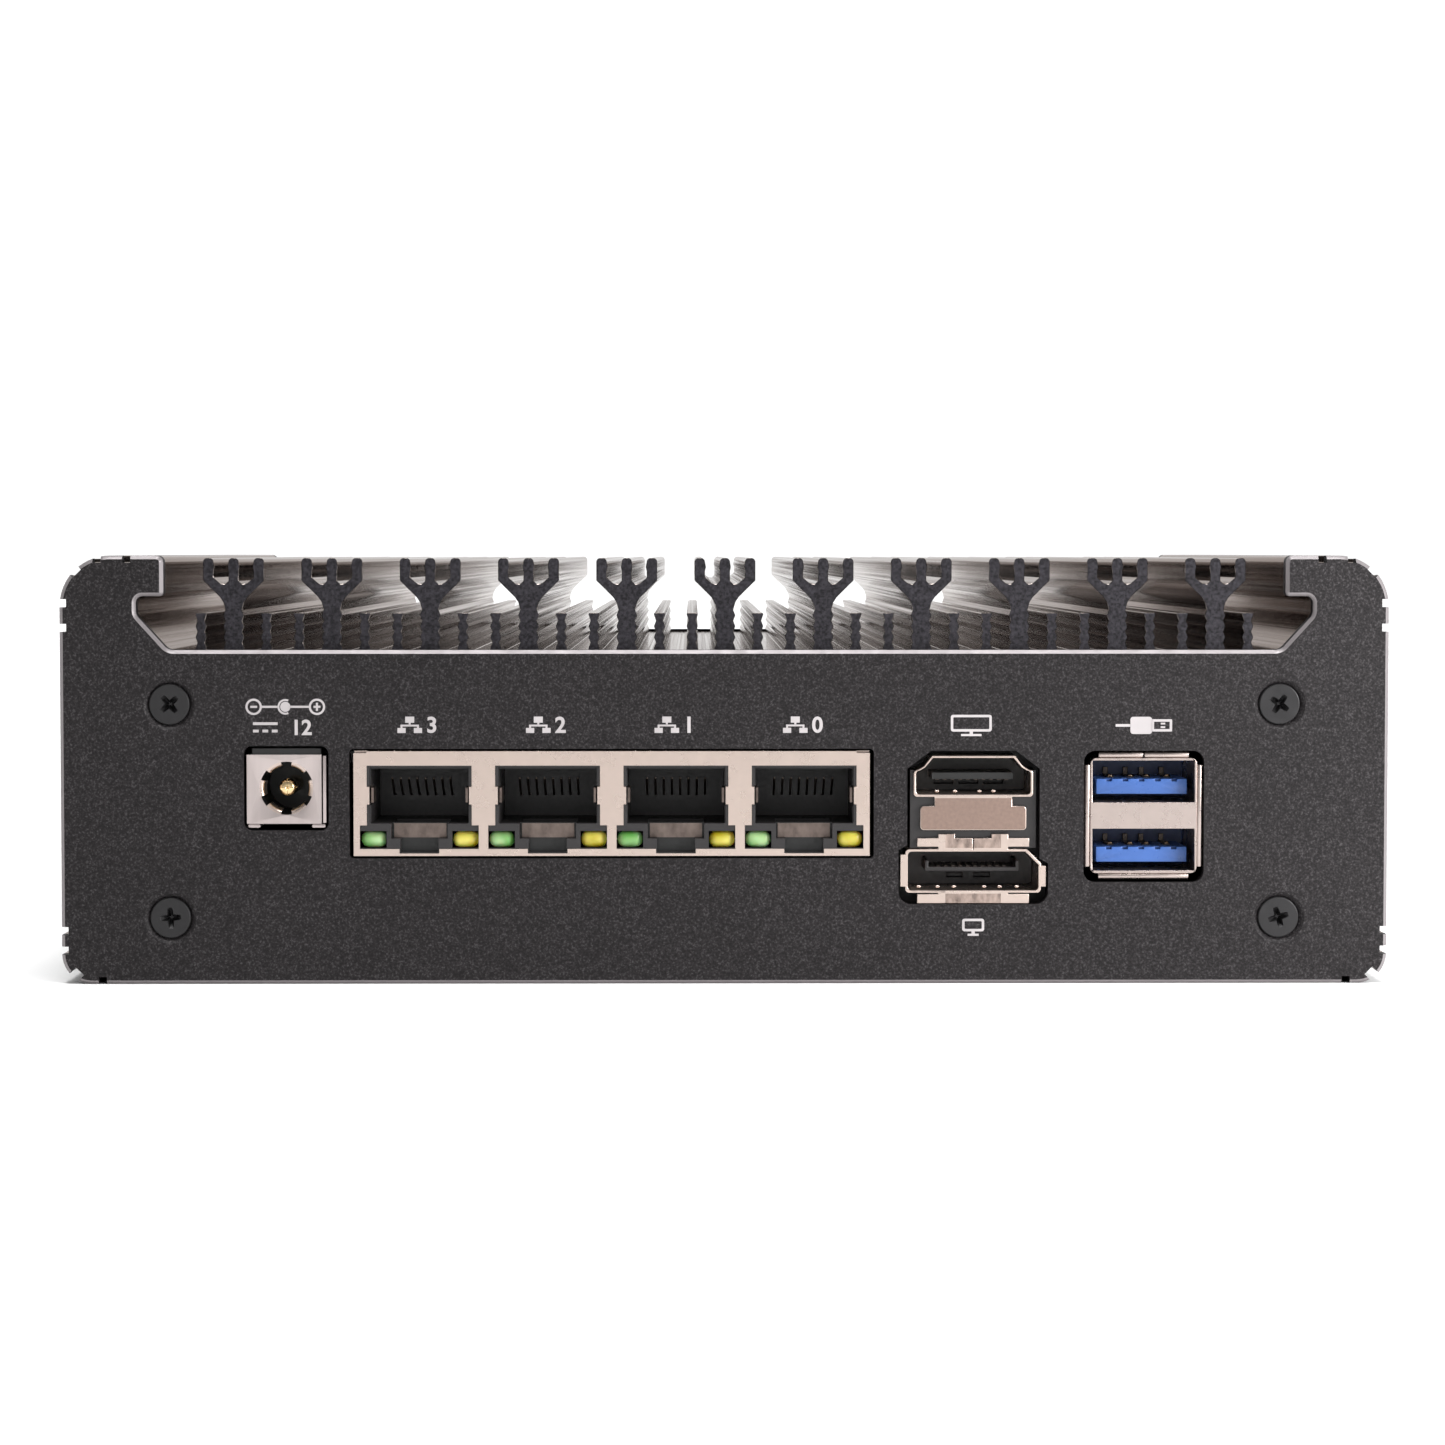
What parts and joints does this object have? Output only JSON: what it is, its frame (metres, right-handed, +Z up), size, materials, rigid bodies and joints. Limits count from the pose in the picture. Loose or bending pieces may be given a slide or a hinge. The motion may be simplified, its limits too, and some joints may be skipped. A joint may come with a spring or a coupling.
{
  "type": "fanless mini pc",
  "caption": "Fanless mini PC: finned aluminium case with an inset heatsink, network, video and serial-bus sockets on one end plate and a sprung power button on the other.",
  "frame": {"origin": "middle of the case's underside, at bottom-centre of the bounding box", "axes": "+Z up out of the fins, +X to the right of somebody facing the port plate, port plate towards -Y, button plate towards +Y"},
  "size_m": [0.162, 0.1275, 0.0523],
  "materials": {
    "charcoal_anodised": "fine sandblasted charcoal anodising",
    "fin_anodised": "extruded, charcoal anodised",
    "black_screw": "black zinc",
    "steel": "bright zinc plated",
    "nickel": "satin nickel plate",
    "brass": "gold flash",
    "black_plastic": "moulded, satin",
    "blue_plastic": "moulded, satin",
    "white_plastic": "moulded, satin",
    "green_light": "clear tinted resin",
    "yellow_light": "clear tinted resin",
    "clear_plastic": "frosted light pipe",
    "board": "solder mask over glass laminate",
    "chip": "moulded epoxy",
    "bare_aluminium": "milled",
    "thermal_pad": "soft silicone pad"
  },
  "bodies": {
    "case": {"heatsink_housing": "fin_anodised", "rear_panel": "charcoal_anodised", "front_panel": "charcoal_anodised", "bottom_cover": "charcoal_anodised", "rear_panel_screws": "black_screw", "front_panel_screws": "black_screw", "bottom_cover_screws": "black_screw", "mainboard": "board", "board_standoffs": "brass", "board_screws": "steel", "processor": "chip", "cpu_heat_block": "bare_aluminium", "thermal_pads": "thermal_pad", "lan_controllers": "chip", "lan_transformers": "chip", "power_inductors": "chip", "capacitors": "bare_aluminium", "memory_module_1": "board", "memory_module_2": "board", "memory_sockets": "black_plastic", "ssd_module": "board", "ssd_socket": "black_plastic", "ssd_standoff": "brass", "ssd_screw": "steel", "cmos_battery": "steel", "battery_holder": "black_plastic", "dc_inlet_shell": "nickel", "dc_inlet_insulator": "black_plastic", "dc_inlet_pin": "brass", "dc_inlet_spring_contact": "nickel", "lan_shield": "nickel", "lan_inserts": "black_plastic", "lan_contacts": "brass", "lan_green_lights": "green_light", "lan_yellow_lights": "yellow_light", "upper_video_shell": "nickel", "upper_video_tongue": "black_plastic", "upper_video_contacts": "brass", "lower_video_shell": "nickel", "lower_video_tongue": "black_plastic", "lower_video_contacts": "brass", "video_stack_body": "black_plastic", "rear_stack_shell": "nickel", "rear_stack_tongues": "blue_plastic", "rear_stack_contacts": "brass", "front_stack_shell": "nickel", "front_stack_tongues": "black_plastic", "front_stack_contacts": "brass", "power_switch_body": "black_plastic", "reset_switch_body": "black_plastic", "status_light_pipes": "clear_plastic", "status_diodes": "white_plastic"},
    "power_button": {"power_button_cap": "steel", "power_switch_plunger": "black_plastic"},
    "reset_plunger": {"reset_switch_plunger": "black_plastic"}
  },
  "joints": [
    {"name": "power_press", "type": "slide", "parent": "case", "child": "power_button", "axis": [0, -1, 0], "range_m": [0, 0.0005], "stiffness_N_per_m": 3000},
    {"name": "reset_press", "type": "slide", "parent": "case", "child": "reset_plunger", "axis": [0, -1, 0], "range_m": [0, 0.0003], "stiffness_N_per_m": 3000}
  ]
}
